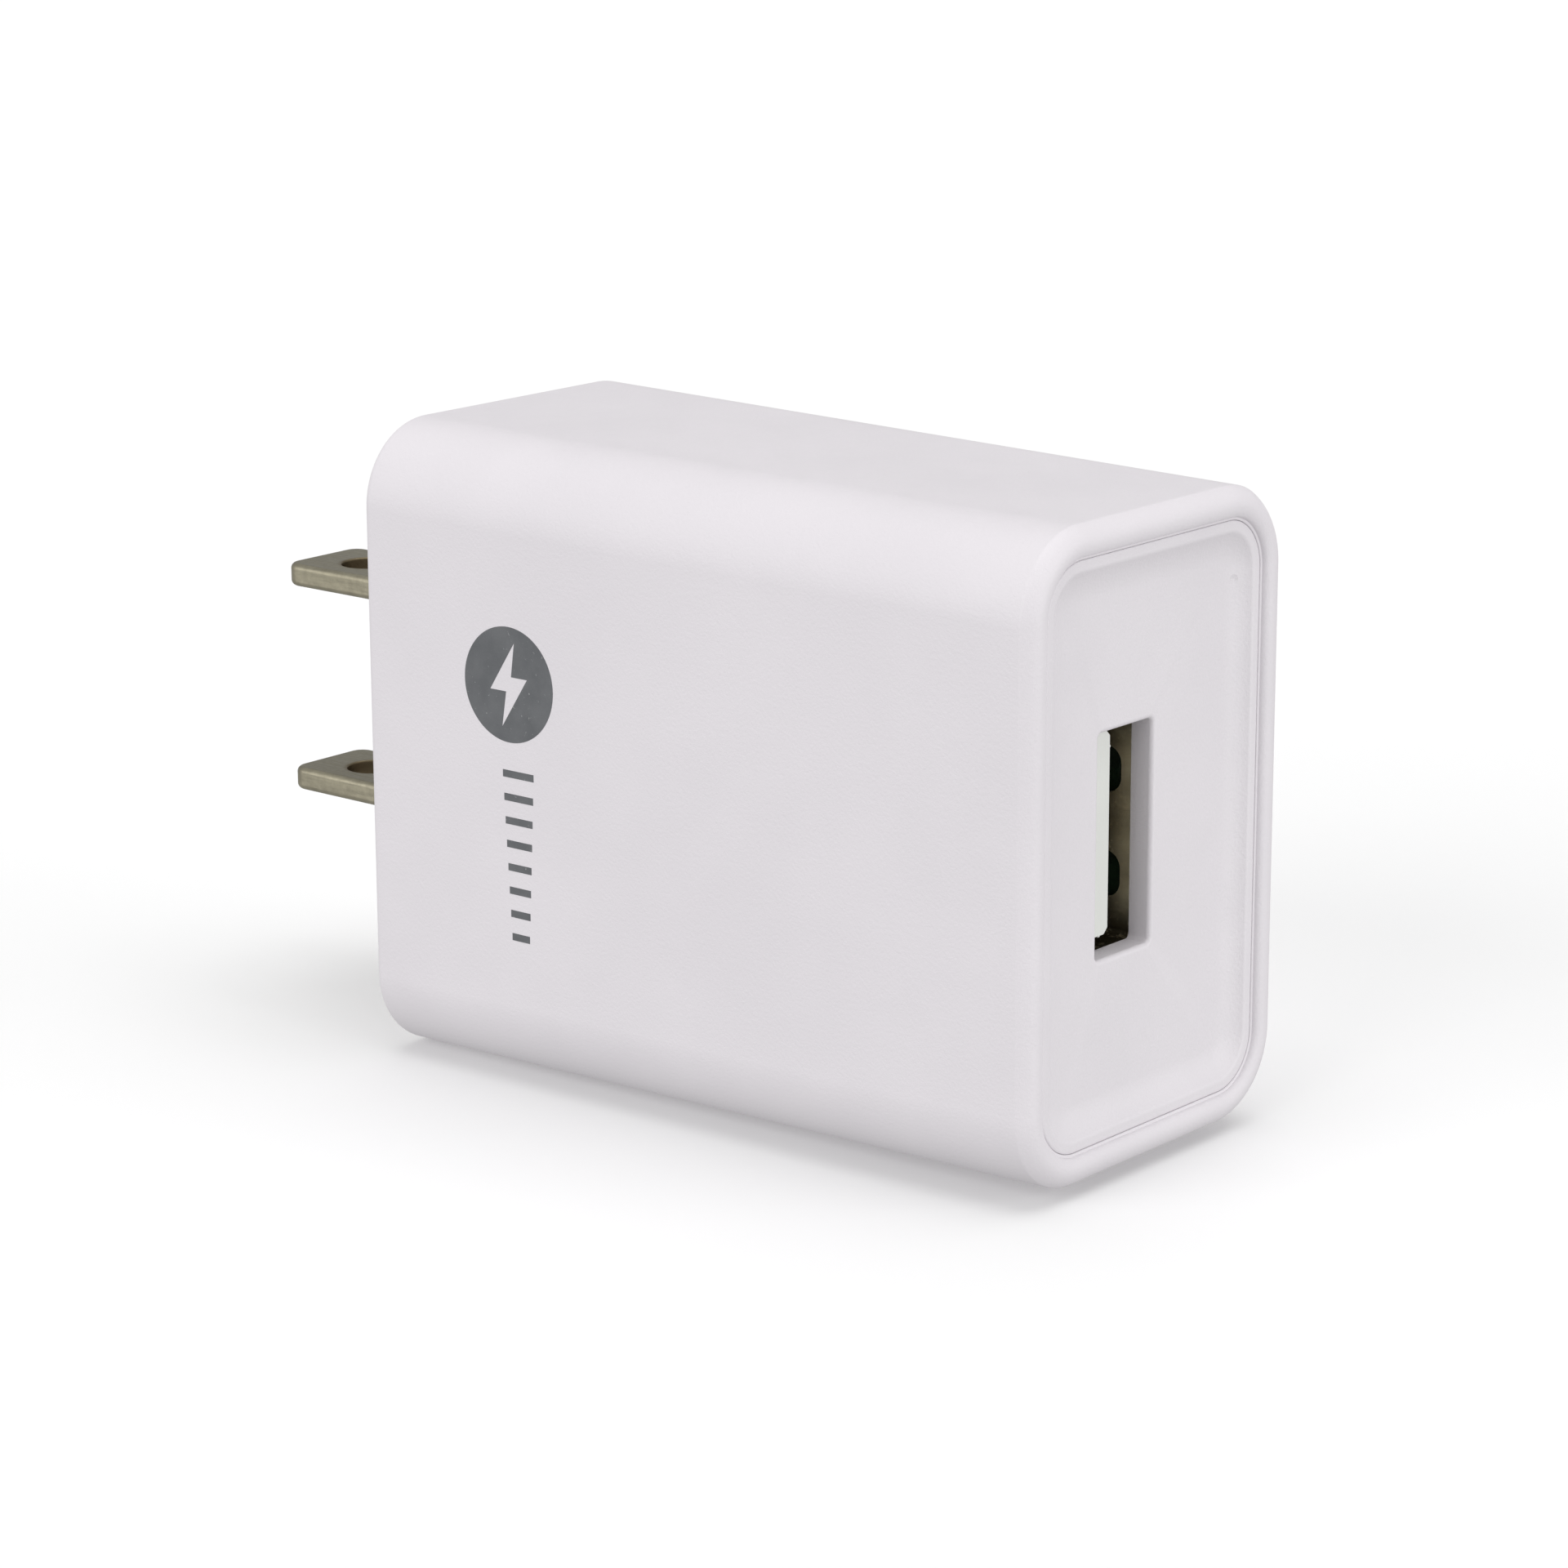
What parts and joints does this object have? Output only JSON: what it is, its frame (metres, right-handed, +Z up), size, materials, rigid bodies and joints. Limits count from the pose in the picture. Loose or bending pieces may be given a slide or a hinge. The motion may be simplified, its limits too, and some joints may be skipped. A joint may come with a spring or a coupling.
{
  "type": "usb wall charger",
  "caption": "Plug-in wall charger: tapered rounded box with a recessed front cover, an upright USB-A port set off centre, and flat parallel blades on the back.",
  "frame": {"origin": "middle of the flat rear face that meets the wall, midway between the two blades", "axes": "+Y into the wall, along the blades; -Y out of the USB port; +X to the right seen from the USB port's side; +Z up, along the upright USB port"},
  "size_m": [0.0242, 0.0628, 0.037],
  "materials": {
    "print_ink": "thin matte grey print on the shell",
    "white_shell": "fine matte moulded grain",
    "white_cover": "fine matte moulded grain, slightly smoother than the housing",
    "blade_metal": "nickel-plated, satin, faint rolling marks",
    "shell_metal": "plated sheet, dull",
    "contact_gold": "gold-flashed strip",
    "lead_metal": "tinned wire",
    "port_plastic": "slightly greenish white moulding",
    "board_laminate": "green solder mask",
    "clear_film": "amber insulation film",
    "ferrite": "dark grey sintered",
    "bobbin_plastic": "black moulding",
    "copper_wire": "enamelled copper, wound",
    "yellow_tape": "polyester tape",
    "can_metal": "drawn can",
    "black_sleeve": "shrunk sleeve",
    "blue_ceramic": "dipped coating",
    "resistor_body": "painted body",
    "chip_plastic": "moulded epoxy",
    "chip_ceramic": "sintered block",
    "red_insulation": "wire insulation",
    "black_insulation": "wire insulation"
  },
  "bodies": {
    "root": {"housing": "white_shell", "front_cover": "white_cover", "blade_upper": "blade_metal", "blade_lower": "blade_metal", "live_wire": "red_insulation", "neutral_wire": "black_insulation", "main_board": "board_laminate", "insulation_sheet": "clear_film", "usb_shell": "shell_metal", "usb_tongue": "port_plastic", "usb_contact_power": "contact_gold", "usb_contact_data_minus": "contact_gold", "usb_contact_data_plus": "contact_gold", "usb_contact_ground": "contact_gold", "transformer_core_upper": "ferrite", "transformer_core_lower": "ferrite", "transformer_bobbin": "bobbin_plastic", "primary_winding": "copper_wire", "secondary_winding": "copper_wire", "winding_tape": "yellow_tape", "input_capacitor_1": "can_metal", "input_capacitor_1_sleeve": "black_sleeve", "input_capacitor_2": "can_metal", "input_capacitor_2_sleeve": "black_sleeve", "output_capacitor_1": "can_metal", "output_capacitor_1_sleeve": "black_sleeve", "output_capacitor_2": "can_metal", "choke_core": "ferrite", "choke_winding": "copper_wire", "fusible_resistor": "resistor_body", "fusible_resistor_lead_1": "lead_metal", "fusible_resistor_lead_2": "lead_metal", "safety_capacitor": "blue_ceramic", "safety_capacitor_lead_1": "lead_metal", "safety_capacitor_lead_2": "lead_metal", "bridge_rectifier": "chip_plastic", "switching_controller": "chip_plastic", "output_diode": "chip_plastic", "snubber_diode": "chip_plastic", "chip_resistor_1": "chip_plastic", "chip_resistor_2": "chip_plastic", "chip_resistor_3": "chip_plastic", "chip_resistor_4": "chip_plastic", "chip_resistor_5": "chip_plastic", "chip_resistor_6": "chip_plastic", "chip_capacitor_1": "chip_ceramic", "chip_capacitor_2": "chip_ceramic", "chip_capacitor_3": "chip_ceramic", "chip_capacitor_4": "chip_ceramic"}
  },
  "joints": []
}
